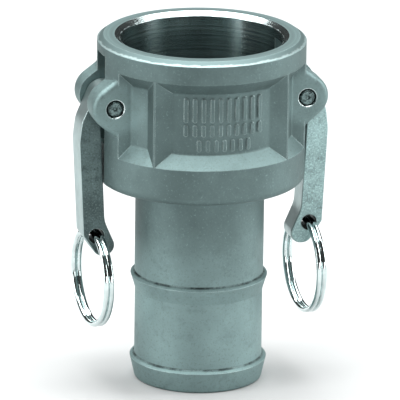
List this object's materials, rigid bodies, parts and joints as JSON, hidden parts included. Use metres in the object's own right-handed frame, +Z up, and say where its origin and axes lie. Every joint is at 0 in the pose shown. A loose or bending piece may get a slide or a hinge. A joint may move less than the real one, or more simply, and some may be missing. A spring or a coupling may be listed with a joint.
{
  "type": "cam-and-groove hose coupling",
  "caption": "Cam-and-groove coupler with a female socket, swinging cam arms with finger rings, a face gasket and a barbed hose shank.",
  "frame": {"origin": "centre of the hose shank's end face, at the base of the bounding box", "axes": "+Z up the socket's axis towards its mouth; the cam arms are on +X and -X, with their pins along Y"},
  "size_m": [0.1006, 0.082, 0.1397],
  "materials": {
    "cast_steel": "as-cast, matte, with a machined mouth and bore",
    "arm_steel": "as-cast, grainy",
    "pin_steel": "turned",
    "ring_wire": "bright drawn wire",
    "rubber": "matte"
  },
  "bodies": {
    "coupler": {"coupler_body": "cast_steel", "gasket": "rubber", "left_pin": "pin_steel", "right_pin": "pin_steel"},
    "right_arm": {"right_cam_arm": "arm_steel"},
    "left_arm": {"left_cam_arm": "arm_steel"},
    "right_ring": {"right_finger_ring": "ring_wire"},
    "left_ring": {"left_finger_ring": "ring_wire"}
  },
  "joints": [
    {"name": "right_arm_hinge", "type": "hinge", "parent": "coupler", "child": "right_arm", "pos_m": [0.03875, 0, 0.11615], "axis": [0, -1, 0], "range_deg": [0, 125]},
    {"name": "left_arm_hinge", "type": "hinge", "parent": "coupler", "child": "left_arm", "pos_m": [-0.03875, 0, 0.11615], "axis": [0, 1, 0], "range_deg": [0, 125]},
    {"name": "right_ring_hinge", "type": "hinge", "parent": "right_arm", "child": "right_ring", "pos_m": [0.0432, 0, 0.0616], "axis": [0, -1, 0], "range_deg": [-20, 150]},
    {"name": "left_ring_hinge", "type": "hinge", "parent": "left_arm", "child": "left_ring", "pos_m": [-0.0432, 0, 0.0616], "axis": [0, 1, 0], "range_deg": [-20, 150]}
  ]
}
